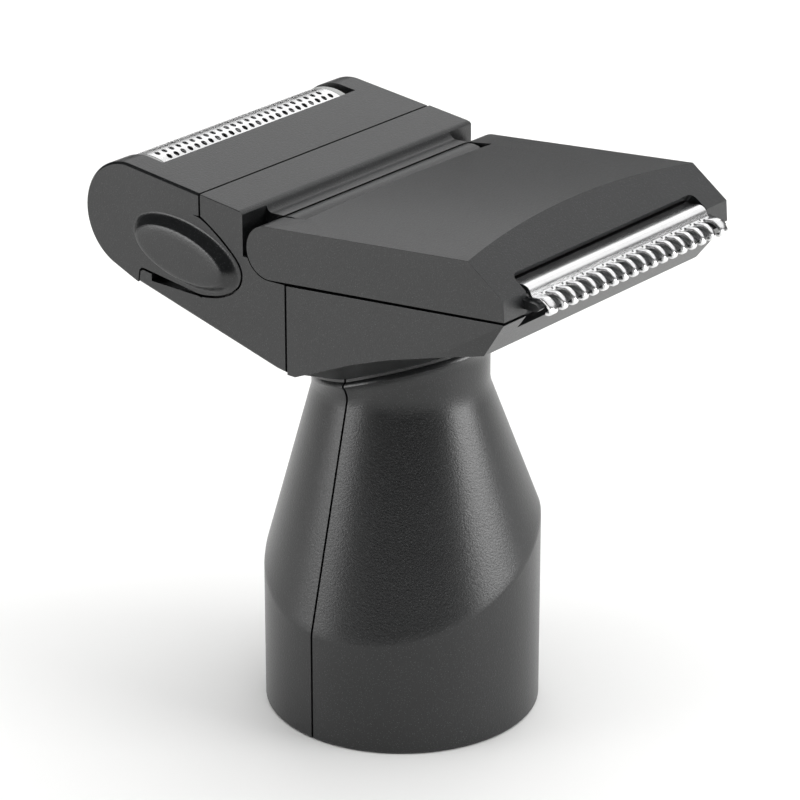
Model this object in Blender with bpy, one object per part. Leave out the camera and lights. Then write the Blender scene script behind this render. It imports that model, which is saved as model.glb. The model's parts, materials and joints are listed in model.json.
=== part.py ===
"""Two-ended body groomer head: a foil shaver on one side and a flip-up comb trimmer on the other.

The head plugs onto a round motor handle. X runs along the head with the trimmer at +X, Y runs
along the cutting edges and Z is up. Sizes are written in millimetres and MM turns them to metres.
"""
import math

import bmesh
import bpy
from mathutils import Matrix, Vector

MM = 0.001
GAP = 0.3                      # clearance that neighbouring pieces keep
HALF_GAP = GAP / 2

# base, cone and neck
BASE_RADIUS = 17.0
BASE_CHAMFER = 0.4
CREASE_LOW = 14.6              # height of the cone's foot beside the seam
CREASE_RISE = 5.5              # how much higher the foot is at the front and the back
NECK_Z = 42.0
NECK_X = 11.2                  # half axes of the cone's top
NECK_Y = 10.35
LIP_Z = 44.9
SOCKET_RADIUS = 15.4
SOCKET_DEPTH = 11.4
COUPLING_BORE = 13.7

# head block
HEAD_HALF = 20.9
CAVITY_HALF = 17.4
REACH = 30.0                  # cutters that run right through the head reach this far
TOP_REAR = (-25.0, 69.75)      # the foil wing's top line runs from here
TOP_SLOPE = -0.094
STRIP_FRONT = -6.7             # end of the fixed strip between the two heads
JOINT_X = -13.3                # joint between the cassette and the housing on the top face
DECK_SLOPE = -0.12             # fall of the deck that the cassette slides on

# foil shaver
FOIL_CENTRE = (-25.0, 62.85)
CASSETTE_RADIUS = 6.9
FOIL_RADIUS = 6.9
FOIL_THICK = 0.25
FOIL_HALF = 16.0
WINDOW_HALF = 17.4
CUTTER_RADIUS = 6.15
CUTTER_HALF = 13.6
LAMELLA_COUNT = 15
PAD_CENTRE = (-15.7, 60.8)
PAD_FOOT = (8.3, 3.85)         # half axes of the thumb pad where it meets the cassette
PAD_FACE = (6.9, 2.9)
PAD_TILT = math.radians(-9)
PAD_HEIGHT = 1.4
TONGUE_THICK = 1.6
CASSETTE_ROOM_HALF = 18.7
SPRING_PLACE = (-19.2, 10.0)
FINGER_HALF = 1.2              # half width of the slider's fingers
FORK_HALF = 1.5                # half width of the slots that they run in

# trimmer head
HINGE = (-2.7, 63.9)
EAR_RADIUS = 3.25
EAR_INNER = 17.05
CROWN = 1.2
COVER_ROOM_HALF = 18.9
HINGE_PIN = 1.0                # radius of the pin, and of the bores round it
HINGE_BORE = 1.3
PIN_HALF = 19.6
SLOT_HALF = 16.9
TOOTH_PITCH = 1.85
TOOTH_COUNT = 18
TOOTH_WIDTH = 0.9
TIP_X = 35.4
COMB_HALF = 16.5
MOVING_HALF = 14.8
BLADE_SCREW = (26.3, 17.4)
SLIT_ROOT = 32.7               # where the slits between the comb's teeth end

# drive
PIVOT_Z = 24.0
PIVOT_PIN = 1.2
PIVOT_BORE = 1.5
LEVER_TOP = 54.9
SLIDER_ROD_Z = 54.9
SLIDER_RODS = {"rear": -5.9, "front": 4.9}
SCREW_Y = 13.0
SCREW_Z = 58.0
SCREW_RADIUS = 0.9
SCREW_BORE = 1.2

FRAME_SHIFT = -(TIP_X + FOIL_CENTRE[0] - CASSETTE_RADIUS) / 2


for old in list(bpy.data.objects):
    bpy.data.objects.remove(old, do_unlink=True)

parts = bpy.data.collections.new("body_groomer_head")
cutters = bpy.data.collections.new("cutters")
bpy.context.scene.collection.children.link(parts)
bpy.context.scene.collection.children.link(cutters)


def empty(name, x=0.0, y=0.0, z=0.0, parent=None):
    holder = bpy.data.objects.new(name, None)
    holder.location = (x * MM, y * MM, z * MM)
    holder.parent = parent
    parts.objects.link(holder)
    return holder


base_axis = empty("base_axis", x=FRAME_SHIFT)
lever_axis = empty("lever_axis", z=PIVOT_Z, parent=base_axis)
trimmer_axis = empty("trimmer_axis", x=HINGE[0], z=HINGE[1], parent=base_axis)


def place(obj, group, parent=base_axis):
    """Link an object whose mesh is drawn about the base axis, and hang it on an empty."""
    group.objects.link(obj)
    obj.parent = parent
    if parent is not base_axis:
        obj.matrix_parent_inverse = Matrix.Translation(-parent.location)
    if group is cutters:
        obj.hide_render = True
        obj.display_type = "WIRE"
    return obj


def from_bmesh(name, bm, group=parts, parent=base_axis):
    mesh = bpy.data.meshes.new(name)
    bmesh.ops.recalc_face_normals(bm, faces=bm.faces)
    bm.to_mesh(mesh)
    bm.free()
    mesh.shade_smooth()
    mesh.set_sharp_from_angle(angle=math.radians(28))
    return place(bpy.data.objects.new(name, mesh), group, parent)


def arc(centre, radius, start, end, steps):
    """Points on an arc, with the angles in degrees."""
    angles = [math.radians(start + (end - start) * k / steps) for k in range(steps + 1)]
    return [(centre[0] + radius * math.cos(a), centre[1] + radius * math.sin(a)) for a in angles]


def oval(centre, axes, tilt, steps):
    points = []
    for k in range(steps):
        a = 2 * math.pi * k / steps
        u, v = axes[0] * math.cos(a), axes[1] * math.sin(a)
        points.append((centre[0] + u * math.cos(tilt) - v * math.sin(tilt),
                       centre[1] + u * math.sin(tilt) + v * math.cos(tilt)))
    return points


def prism(name, outline, low, high, group=parts, parent=base_axis):
    """Flat outline in X and Z, standing between two Y planes."""
    curve = bpy.data.curves.new(name, "CURVE")
    curve.dimensions = "2D"
    curve.fill_mode = "BOTH"
    curve.extrude = (high - low) / 2 * MM
    spline = curve.splines.new("POLY")
    spline.points.add(len(outline) - 1)
    spline.use_cyclic_u = True
    for point, (x, z) in zip(spline.points, outline):
        point.co = (x * MM, z * MM, 0, 1)
    draft = bpy.data.objects.new(name + "_outline", curve)
    bpy.context.scene.collection.objects.link(draft)
    view = bpy.context.evaluated_depsgraph_get()
    mesh = bpy.data.meshes.new_from_object(draft.evaluated_get(view))
    bpy.data.objects.remove(draft, do_unlink=True)
    bm = bmesh.new()
    bm.from_mesh(mesh)
    bmesh.ops.remove_doubles(bm, verts=bm.verts, dist=0.00001)
    stand = Matrix.Translation((0, (low + high) / 2 * MM, 0)) @ Matrix.Rotation(math.pi / 2, 4, "X")
    bm.transform(stand)
    bpy.data.meshes.remove(mesh)
    return from_bmesh(name, bm, group, parent)


def box(name, low, high, group=parts, parent=base_axis):
    bm = bmesh.new()
    bmesh.ops.create_cube(bm, size=1)
    low, high = Vector(low) * MM, Vector(high) * MM
    size = high - low
    bmesh.ops.transform(bm, matrix=Matrix.Diagonal((*size, 1)), verts=bm.verts)
    bmesh.ops.translate(bm, vec=(low + high) / 2, verts=bm.verts)
    return from_bmesh(name, bm, group, parent)


def rod(name, start, end, radius, group=parts, parent=base_axis, sides=24):
    """Round bar between two points."""
    start, end = Vector(start) * MM, Vector(end) * MM
    along = end - start
    bm = bmesh.new()
    bmesh.ops.create_cone(bm, cap_ends=True, segments=sides, radius1=radius * MM,
                          radius2=radius * MM, depth=along.length)
    turn = Vector((0, 0, 1)).rotation_difference(along).to_matrix().to_4x4()
    bmesh.ops.transform(bm, matrix=Matrix.Translation((start + end) / 2) @ turn, verts=bm.verts)
    return from_bmesh(name, bm, group, parent)


def loft(name, rings, group=parts, parent=base_axis):
    """Closed solid through rings of equal point count, capped at both ends."""
    bm = bmesh.new()
    loops = [[bm.verts.new(Vector(p) * MM) for p in ring] for ring in rings]
    for lower, upper in zip(loops, loops[1:]):
        for k in range(len(lower)):
            n = (k + 1) % len(lower)
            bm.faces.new((lower[k], lower[n], upper[n], upper[k]))
    bm.faces.new(list(reversed(loops[0])))
    bm.faces.new(loops[-1])
    bmesh.ops.triangulate(bm, faces=bm.faces)
    return from_bmesh(name, bm, group, parent)


def coil(name, centre, bottom, top, radius, wire, turns, parent=base_axis):
    """Compression spring standing along Z."""
    curve = bpy.data.curves.new(name, "CURVE")
    curve.dimensions = "3D"
    curve.bevel_depth = wire * MM
    curve.bevel_resolution = 1
    curve.use_fill_caps = True
    steps = turns * 10
    spline = curve.splines.new("POLY")
    spline.points.add(steps)
    for k, point in enumerate(spline.points):
        a = 2 * math.pi * turns * k / steps
        z = bottom + wire + (top - bottom - 2 * wire) * k / steps
        point.co = ((centre[0] + radius * math.cos(a)) * MM,
                    (centre[1] + radius * math.sin(a)) * MM, z * MM, 1)
    return place(bpy.data.objects.new(name, curve), parts, parent)


def boolean(target, tool, operation):
    step = target.modifiers.new(operation.lower() + "_" + tool.name, "BOOLEAN")
    step.operation = operation
    step.solver = "EXACT"
    step.object = tool


def cut(target, *tools):
    for tool in tools:
        boolean(target, tool, "DIFFERENCE")


def join(target, *pieces):
    for piece in pieces:
        boolean(target, piece, "UNION")


def finish(obj, name, colour, roughness, metallic):
    surface = bpy.data.materials.new(name)
    surface.use_nodes = True
    shader = surface.node_tree.nodes["Principled BSDF"]
    shader.inputs["Base Color"].default_value = (*colour, 1)
    shader.inputs["Roughness"].default_value = roughness
    shader.inputs["Metallic"].default_value = metallic
    obj.data.materials.clear()
    obj.data.materials.append(surface)


def plastic(obj):
    finish(obj, obj.name + "_charcoal_abs", (0.045, 0.046, 0.047), 0.48, 0)


def inner_plastic(obj):
    finish(obj, obj.name + "_pom", (0.62, 0.62, 0.60), 0.4, 0)


def steel(obj):
    finish(obj, obj.name + "_steel", (0.72, 0.72, 0.73), 0.25, 1)


# ---- outlines that several pieces share -------------------------------------------------

def wing_top(x):
    """Height of the foil wing's top face."""
    return TOP_REAR[1] + TOP_SLOPE * (x - TOP_REAR[0])


def deck(x):
    """Height of the joint between the cassette and the deck that it slides on."""
    return 57.0 + DECK_SLOPE * (x + 22.7)


def trimmer_floor(x):
    """Height of the trimmer head's lower edge."""
    return 60.65 + 0.108 * (x + 2.5)


def tongue(grow):
    """Rounded tongue of the cassette that laps over the housing's side."""
    low = [(JOINT_X - 8, 55.95 + grow * -1), (-13.0, 55.95 - grow), (-10.5, 56.45 - grow)]
    nose = [(-8.4 + grow * 0.6, 57.4 - grow * 0.7), (-7.0 + grow, 58.8), (-6.7 + grow, 60.2)]
    back = [(-7.1 + grow, 61.3 + grow * 0.5), (-8.1 + grow * 0.7, 62.4 + grow * 0.7)]
    high = [(-10.0 + grow * 0.4, 63.9 + grow), (-12.0, 65.2 + grow), (-13.5 + grow, 65.95 + grow)]
    return low + nose + back + high + [(JOINT_X - 8, 65.95 + grow)]


def tower_ring(z_of, x_half, y_half, steps=48):
    ring = []
    for k in range(steps):
        a = 2 * math.pi * k / steps
        radius = 1 / math.hypot(math.cos(a) / x_half, math.sin(a) / y_half)
        ring.append((radius * math.cos(a), radius * math.sin(a), z_of(a)))
    return ring


def crease(angle):
    return CREASE_LOW + CREASE_RISE * abs(math.cos(angle)) ** 3


def cone_ring(share, steps=48):
    """Ring a given share of the way from the crease to the top of the cone."""
    ring = []
    for k in range(steps):
        a = 2 * math.pi * k / steps
        top = 1 / math.hypot(math.cos(a) / NECK_X, math.sin(a) / NECK_Y)
        linear = 1 - 0.6 * math.cos(a) ** 2
        fall = linear * share + (1 - linear) * share ** 2
        radius = BASE_RADIUS + (top - BASE_RADIUS) * fall
        z = crease(a) + (NECK_Z - crease(a)) * share
        ring.append((radius * math.cos(a), radius * math.sin(a), z))
    return ring


def tower(name):
    """Base cylinder, cone and neck as one outer form."""
    def level(height):
        return lambda angle: height
    foot = BASE_RADIUS - BASE_CHAMFER
    rings = [tower_ring(level(0), foot, foot), tower_ring(level(BASE_CHAMFER), BASE_RADIUS, BASE_RADIUS)]
    rings += [cone_ring(k / 5) for k in range(6)]
    rings += [tower_ring(level(43.3), NECK_X, NECK_Y - 0.1),
              tower_ring(level(LIP_Z - 0.6), NECK_X + 0.4, NECK_Y + 0.35),
              tower_ring(level(LIP_Z), NECK_X + 0.9, NECK_Y + 0.8),
              tower_ring(level(51.5), NECK_X + 0.9, NECK_Y + 0.8)]
    return loft(name, rings, cutters)


def belly(name):
    """Funnel between the neck and the head's lower edges."""
    bm = bmesh.new()
    for x, y, z in tower_ring(lambda a: LIP_Z + 0.05, NECK_X + 0.5, NECK_Y + 0.4, 32):
        bm.verts.new(Vector((x, y, z)) * MM)
    for x, z in ((-13.0, 52.65), (-1.5, 49.85), (1.3, 49.6), (10.0, 53.45), (10.0, 55.5), (-13.0, 55.5)):
        for side in (-1, 1):
            bm.verts.new(Vector((x, side * (HEAD_HALF - 0.2), z)) * MM)
    hull = bmesh.ops.convex_hull(bm, input=bm.verts)
    bmesh.ops.delete(bm, geom=hull["geom_interior"], context="VERTS")
    return from_bmesh(name, bm, cutters)


def shell_cavity(name):
    """Socket, lever channel and head cavity, cut from both halves of the housing."""
    def flat(height, x_half, y_half):
        return tower_ring(lambda angle: height, x_half, y_half, 32)
    channel = loft(name + "_channel", [
        flat(-1, SOCKET_RADIUS, SOCKET_RADIUS), flat(SOCKET_DEPTH, SOCKET_RADIUS, SOCKET_RADIUS),
        flat(SOCKET_DEPTH + 0.05, 14.2, 14.2), flat(NECK_Z, 9.2, 8.3), flat(53, 9.2, 8.3)], cutters)
    room = prism(name + "_room", [
        (27.0, 60.6), (27.0, 61.6), (0.0, 58.9), (-6.5, 58.3), (-8.3, 61.0), (-8.3, 66.1),
        (-11.3, 66.4), (-11.3, 54.0), (-1.0, 51.3), (1.2, 51.2), (10.0, 54.9), (15.0, 56.9),
        (22.0, 59.2)], -CAVITY_HALF, CAVITY_HALF, cutters)
    return channel, room


def boss_pair(name, low_x, high_x, radius, group=cutters):
    return [rod(f"{name}_{side:+d}", (low_x, side * SCREW_Y, SCREW_Z), (high_x, side * SCREW_Y, SCREW_Z),
                radius, group, sides=16) for side in (-1, 1)]


# ---- housing ------------------------------------------------------------------------------

def housing_rear():
    """Half shell under the foil cassette, with the strip between the two heads."""
    clear = EAR_RADIUS + GAP
    hinge_bed = arc(HINGE, clear, 110, 270, 10)
    outline = [(0.6, 49.5), (0.6, 60.67), *reversed(hinge_bed), (-5.5, 67.85),
               (STRIP_FRONT, wing_top(STRIP_FRONT)), (JOINT_X + HALF_GAP, wing_top(JOINT_X)),
               (JOINT_X + HALF_GAP, deck(JOINT_X) - HALF_GAP), (-22.7, deck(-22.7) - HALF_GAP),
               (-23.1, 56.6), (-23.3, 55.1), (-1.5, 49.8)]
    shell = prism("housing_rear", outline, -HEAD_HALF, HEAD_HALF)
    join(shell, belly("rear_belly"), tower("rear_tower"))
    cut(shell, box("rear_half", (-HALF_GAP, -REACH, -5), (40, REACH, 80), cutters))
    cut(shell, *shell_cavity("rear"))
    for side in (-1, 1):
        inner, outer = sorted((side * (HEAD_HALF - TONGUE_THICK - GAP), side * REACH))
        cut(shell, prism(f"rear_tongue_bed_{side:+d}", tongue(HALF_GAP), inner, outer, cutters))
        inner, outer = sorted((side * (EAR_INNER - GAP), side * REACH))
        cut(shell, box(f"rear_ear_bed_{side:+d}", (STRIP_FRONT + HALF_GAP, inner, 65.4), (3, outer, 75),
                       cutters))
    cut(shell, box("rear_finger_slot", (-14, -4, 59.6), (-11, 4, 63.0), cutters))
    join(shell, *boss_pair("rear_boss", -12.5, -HALF_GAP, 2.0))
    cut(shell, *boss_pair("rear_screw_hole", -20, 2, SCREW_BORE))
    cut(shell, *boss_pair("rear_head_hole", -20, -11.6, 1.95))
    plastic(shell)


def housing_front():
    """Half shell under the trimmer head, with the slanted chin."""
    outline = [(-0.6, 60.5), (31.9, trimmer_floor(31.9) - GAP), (32.1, 64.0), (28.6, 59.2), (22.0, 57.5),
               (15.0, 55.3), (10.0, 53.4), (1.3, 49.5), (-0.6, 49.5)]
    shell = prism("housing_front", outline, -HEAD_HALF, HEAD_HALF)
    for corner in shell.data.vertices:
        if corner.co.x > 25 * MM and corner.co.z < 60 * MM:
            corner.co.y *= 19.94 / HEAD_HALF
    join(shell, belly("front_belly"), tower("front_tower"))
    cut(shell, box("front_half", (-40, -REACH, -5), (HALF_GAP, REACH, 80), cutters))
    cut(shell, *shell_cavity("front"))
    cut(shell, prism("chin_recess", [(29.6, 66), (29.6, 62.5), (34, 61.9), (34, 66)],
                     -SLOT_HALF, SLOT_HALF, cutters))
    cut(shell, box("front_finger_slot", (7.2, -4, 57), (11.6, 4, 65), cutters))
    join(shell, *boss_pair("front_boss", HALF_GAP, 9.0, 2.0))
    cut(shell, *boss_pair("front_screw_hole", -2, 7.5, SCREW_BORE))
    plastic(shell)


def hinge():
    """Fixed barrel between the ears, and the steel rod that the trimmer head turns on."""
    barrel = rod("hinge_barrel", (HINGE[0], -EAR_INNER + GAP, HINGE[1]),
                 (HINGE[0], EAR_INNER - GAP, HINGE[1]), EAR_RADIUS, sides=32)
    cut(barrel, rod("barrel_bore", (HINGE[0], -REACH, HINGE[1]), (HINGE[0], REACH, HINGE[1]),
                    HINGE_BORE, cutters))
    plastic(barrel)
    steel(rod("hinge_pin", (HINGE[0], -PIN_HALF, HINGE[1]), (HINGE[0], PIN_HALF, HINGE[1]), HINGE_PIN))


def screws():
    for side, word in ((-1, "left"), (1, "right")):
        y = side * SCREW_Y
        screw = rod(f"housing_screw_{word}", (-12.9, y, SCREW_Z), (7.0, y, SCREW_Z), SCREW_RADIUS, sides=16)
        head = rod(f"housing_screw_head_{word}", (-13.0, y, SCREW_Z), (-11.9, y, SCREW_Z), 1.65, cutters,
                   sides=20)
        join(screw, head)
        cut(screw, box(f"housing_screw_slot_{word}", (-14, y - 0.25, SCREW_Z - 1.2),
                       (-12.5, y + 0.25, SCREW_Z + 1.2), cutters))
        cut(screw, box(f"housing_screw_cross_{word}", (-14, y - 1.2, SCREW_Z - 0.25),
                       (-12.5, y + 1.2, SCREW_Z + 0.25), cutters))
        steel(screw)


# ---- coupling and drive ---------------------------------------------------------------------

def coupling_ring():
    """Ring in the socket whose three lugs lock behind the handle's neck."""
    ring = rod("coupling_ring", (0, 0, 0.8), (0, 0, 7.6), SOCKET_RADIUS - GAP, sides=48)
    cut(ring, rod("coupling_bore", (0, 0, -1), (0, 0, 9), COUPLING_BORE, cutters, sides=48))
    for k in range(3):
        lug = box(f"coupling_lug_{k}", (12.7, -2.2, 4.6), (14.4, 2.2, 7.0), cutters)
        lug.rotation_euler.z = math.radians(90 + 120 * k)
        join(ring, lug)
    inner_plastic(ring)


def drive_bulkhead():
    """Disc above the socket that carries the lever's pivot between two ears."""
    disc = rod("drive_bulkhead", (0, 0, 8.9), (0, 0, 11.1), SOCKET_RADIUS - GAP, sides=40)
    for side in (-1, 1):
        low, high = sorted((side * 4.4, side * 6.4))
        join(disc, box(f"bulkhead_ear_{side:+d}", (low, -3.5, 10), (high, 3.5, PIVOT_Z + 3), cutters))
    cut(disc, box("bulkhead_slot", (-3.6, -5.5, 7), (3.6, 5.5, 13), cutters))
    cut(disc, rod("bulkhead_bore", (-9, 0, PIVOT_Z), (9, 0, PIVOT_Z), PIVOT_BORE, cutters, sides=20))
    inner_plastic(disc)
    steel(rod("pivot_pin", (-7.4, 0, PIVOT_Z), (7.4, 0, PIVOT_Z), PIVOT_PIN, sides=20))


def drive_lever():
    """Rocking lever: a fork for the motor's eccentric below, a blade for the slider on top."""
    lever = box("drive_lever", (-2.7, -1.5, 20), (2.7, 1.5, LEVER_TOP), parent=lever_axis)
    eye = rod("lever_eye", (-3.3, 0, PIVOT_Z), (3.3, 0, PIVOT_Z), 3.4, cutters, sides=28)
    fork = box("lever_fork", (-2.7, -4.2, 12.4), (2.7, 4.2, 22), cutters)
    join(lever, eye, fork)
    cut(lever, box("lever_fork_slot", (-4, -2.2, 11), (4, 2.2, 18.6), cutters))
    cut(lever, rod("lever_bore", (-9, 0, PIVOT_Z), (9, 0, PIVOT_Z), PIVOT_BORE, cutters, sides=20))
    cut(lever, box("lever_window", (-1.2, -5, 30), (1.2, 5, 50), cutters))
    inner_plastic(lever)


def drive_slider():
    """Cross slide that the lever pushes along Y, with a finger for each cutter."""
    slider = box("drive_slider", (-7.6, -3, 53.8), (6.6, 3, 56.4))
    arm = box("slider_arm", (-10.9, -2, 56.2), (10.4, 2, 57.9), cutters)
    half = FINGER_HALF
    rear = box("slider_rear_riser", (-10.9, -half, 56.5), (-8.9, half, 62.2), cutters)
    finger = box("slider_rear_finger", (-17.2, -half, 60.5), (-9.2, half, 62.2), cutters)
    front = box("slider_front_finger", (8.4, -half, 56.5), (10.4, half, 65.9), cutters)
    join(slider, arm, rear, finger, front)
    cut(slider, box("slider_fork", (-3.0, -1.8, 52), (3.0, 1.8, LEVER_TOP + 0.4), cutters))
    for name, x in SLIDER_RODS.items():
        start, end = (x, -REACH, SLIDER_ROD_Z), (x, REACH, SLIDER_ROD_Z)
        cut(slider, rod(f"slider_bore_{name}", start, end, 1.1, cutters, sides=16))
        start, end = (x, -CAVITY_HALF + GAP, SLIDER_ROD_Z), (x, CAVITY_HALF - GAP, SLIDER_ROD_Z)
        steel(rod(f"guide_rod_{name}", start, end, 0.8, sides=16))
    inner_plastic(slider)


# ---- foil shaver ------------------------------------------------------------------------------

def cassette_frame():
    """Pull-off cassette: rounded end with the foil window, and a tongue with a pad on each side."""
    round_end = arc(FOIL_CENTRE, CASSETTE_RADIUS, 95, 250, 16)
    lip_x = JOINT_X - HALF_GAP
    outline = [TOP_REAR, *round_end, (-23.55, 55.15), (-23.3, 56.75),
               (-22.85, deck(-22.85) + HALF_GAP), *tongue(-HALF_GAP)[1:-1], (lip_x, 65.9),
               (lip_x, wing_top(JOINT_X))]
    frame = prism("cassette_frame", outline, -HEAD_HALF, HEAD_HALF)
    inner = HEAD_HALF - TONGUE_THICK
    cut(frame, box("between_tongues", (lip_x, -inner, 50), (0, inner, 75), cutters))
    for side in (-1, 1):
        foot = [(x, side * (HEAD_HALF - 0.3), z) for x, z in oval(PAD_CENTRE, PAD_FOOT, PAD_TILT, 28)]
        edge = [(x, side * HEAD_HALF, z) for x, z in oval(PAD_CENTRE, PAD_FOOT, PAD_TILT, 28)]
        face = [(x, side * (HEAD_HALF + PAD_HEIGHT), z)
                for x, z in oval(PAD_CENTRE, PAD_FACE, PAD_TILT, 28)]
        join(frame, loft(f"pad_{side:+d}", [foot, edge, face], cutters))
    bore = arc(FOIL_CENTRE, 6.35, 84, 262, 12)
    room = bore + [(-22.9, 57.6), (-22.9, 50), (-8, 50), (-8, 66.3)]
    cut(frame, prism("cassette_room", room, -CASSETTE_ROOM_HALF, CASSETTE_ROOM_HALF, cutters))
    seat = [FOIL_CENTRE, *arc(FOIL_CENTRE, FOIL_RADIUS + 0.05, 47, 196, 14)]
    cut(frame, prism("foil_seat", seat, -WINDOW_HALF + 0.02, WINDOW_HALF - 0.02, cutters))
    window = [FOIL_CENTRE, *arc(FOIL_CENTRE, 12, 67.9, 196, 8)]
    cut(frame, prism("foil_window", window, -WINDOW_HALF, WINDOW_HALF, cutters))
    plastic(frame)


def foil():
    """Curved foil and the two arched strips that hold its ends."""
    outer = arc(FOIL_CENTRE, FOIL_RADIUS - HALF_GAP, 50, 194, 20)
    inner = arc(FOIL_CENTRE, FOIL_RADIUS - HALF_GAP - FOIL_THICK, 194, 50, 20)
    sheet = prism("foil_sheet", outer + inner, -FOIL_HALF + 0.9, FOIL_HALF - 0.9)
    steel(sheet)
    for side, word in ((-1, "left"), (1, "right")):
        low, high = sorted((side * (FOIL_HALF - 0.6), side * (FOIL_HALF + 0.4)))
        strip = prism(f"foil_end_frame_{word}", outer + inner, low, high)
        inner_plastic(strip)


def undercutter():
    """Comb of arched lamellae on a spine, with the sprung carrier and its slide plate."""
    spine = box("undercutter", (-24.6, -CUTTER_HALF, 60.4), (-22.7, CUTTER_HALF, 62.6))
    pitch = (2 * CUTTER_HALF - 0.6) / (LAMELLA_COUNT - 1)
    for k in range(LAMELLA_COUNT):
        y = -CUTTER_HALF + 0.3 + k * pitch
        arch = arc(FOIL_CENTRE, CUTTER_RADIUS, 50, 180, 9) + arc(FOIL_CENTRE, 3.6, 180, 50, 7)
        join(spine, prism(f"lamella_{k}", arch, y - 0.28, y + 0.28, cutters))
        join(spine, box(f"lamella_root_{k}", (-24.3, y - 0.28, 62.3), (-23.3, y + 0.28, 67.0), cutters))
    steel(spine)
    carrier = box("cutter_carrier", (-22.4, -13, 60.3), (-16.0, 13, 62.4))
    cut(carrier, box("carrier_slot", (-17.9, -FORK_HALF, 59), (-15, FORK_HALF, 64), cutters))
    inner_plastic(carrier)
    steel(box("cutter_slide_plate", (-21.9, -14, 57.35), (-16.0, 14, 57.85)))
    for side, word in ((-1, "left"), (1, "right")):
        foot = (SPRING_PLACE[0], side * SPRING_PLACE[1])
        steel(coil(f"cutter_spring_{word}", foot, 58.1, 60.05, 1.7, 0.22, 3))


# ---- trimmer head -------------------------------------------------------------------------------

def crown(y):
    return CROWN * (1 - (y / HEAD_HALF) ** 2)


def trimmer_cover():
    """Upper shell with hinge ears, a crowned top and the slot for the comb."""
    slices = []
    for k in range(13):
        y = HEAD_HALF * math.sin(math.radians(-90 + 15 * k))
        rise = crown(y)
        section = [*arc(HINGE, EAR_RADIUS, 94, 273, 10), (32.2, trimmer_floor(32.2)), (32.0, 66.9),
                   (27.0 - 1.43 * rise, 70.4 + rise), (-0.4, 67.41 + 0.35 * rise)]
        slices.append([(x, y, z) for x, z in section])
    shell = loft("trimmer_cover", slices, parent=trimmer_axis)
    clear = EAR_RADIUS + GAP + 0.05
    room = [(1.9, 58), (1.9, 66.0), (25.4, 68.6), (29.3, 67.6), (30.0, 65.6), (30.0, 58)]
    slot = [(27.8, 65.47), (30.9, 69.9), (36, 69.9), (36, 62), (27.8, 62)]
    cut(shell, prism("cover_room", room, -COVER_ROOM_HALF, COVER_ROOM_HALF, cutters))
    rear_x = HINGE[0] + clear / 2
    rear_gap = [(-8, 58), (rear_x, 58), *arc(HINGE, clear, -60, 60, 12), (rear_x, 75), (-8, 75)]
    cut(shell, prism("cover_rear_gap", rear_gap, -EAR_INNER, EAR_INNER, cutters))
    cut(shell, prism("cover_slot", slot, -SLOT_HALF, SLOT_HALF, cutters))
    reach = PIN_HALF + 0.35
    start, end = (HINGE[0], -reach, HINGE[1]), (HINGE[0], reach, HINGE[1])
    cut(shell, rod("ear_bore", start, end, HINGE_BORE, cutters))
    plastic(shell)


def base_top(x):
    """Upper face of the trimmer's base plate."""
    return trimmer_floor(x) + 1.5


def trimmer_base():
    """Plate that closes the trimmer head from below and carries the comb."""
    outline = [(2.3, trimmer_floor(2.3) + 0.2), (29.6, trimmer_floor(29.6) + 0.2),
               (29.6, base_top(29.6) - 0.6), (28.4, base_top(28.4)), (2.3, base_top(2.3))]
    plate = prism("trimmer_base", outline, -18.6, 18.6, parent=trimmer_axis)
    cut(plate, box("base_finger_slot", (7.2, -4, 58), (11.8, 4, 66), cutters))
    for side in (-1, 1):
        x, y = BLADE_SCREW[0], side * BLADE_SCREW[1]
        cut(plate, rod(f"base_screw_hole_{side:+d}", (x, y, 60), (x, y, 70), 0.98, cutters, sides=14))
    plastic(plate)


def comb_outline():
    """Section of the fixed comb: flat land, rounded shoulder and hooked tooth."""
    upper = [(24.8, 67.35), (31.3, 67.4), (31.9, 67.25), (32.3, 66.85), (32.6, 66.3), (33.1, 66.2),
             (33.9, 66.27), (34.7, 65.95), (35.2, 65.5), (TIP_X, 65.1), (35.2, 64.75)]
    lower = [(34.95, 65.05), (34.6, 65.4), (33.9, 65.75), (33.0, 65.75), (32.3, 65.85), (31.9, 66.45),
             (31.6, 66.75), (31.1, 66.85), (24.8, 66.8)]
    return upper + lower


def fixed_blade():
    """Stamped comb with thick hooked teeth, held by two screws."""
    comb = prism("fixed_blade", comb_outline(), -COMB_HALF, COMB_HALF, parent=trimmer_axis)
    for k in range(TOOTH_COUNT - 1):
        y = (k - (TOOTH_COUNT - 2) / 2) * TOOTH_PITCH
        slit = (TOOTH_PITCH - TOOTH_WIDTH) / 2
        cut(comb, box(f"comb_slit_{k}", (SLIT_ROOT, y - slit, 62), (37, y + slit, 68), cutters))
    for side in (-1, 1):
        x, y = BLADE_SCREW[0], side * BLADE_SCREW[1]
        wing_low, wing_high = sorted((side * 15.0, side * 18.3))
        join(comb, box(f"comb_wing_{side:+d}", (24.8, wing_low, 66.8), (27.9, wing_high, 67.35), cutters))
        cut(comb, rod(f"comb_screw_hole_{side:+d}", (x, y, 60), (x, y, 70), 1.05, cutters, sides=14))
    steel(comb)
    for side, word in ((-1, "left"), (1, "right")):
        x, y = BLADE_SCREW[0], side * BLADE_SCREW[1]
        screw = rod(f"blade_screw_{word}", (x, y, 64.6), (x, y, 67.6), 0.75, sides=14, parent=trimmer_axis)
        join(screw, rod(f"blade_screw_head_{word}", (x, y, 67.5), (x, y, 67.85), 1.1, cutters, sides=18))
        steel(screw)


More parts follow.
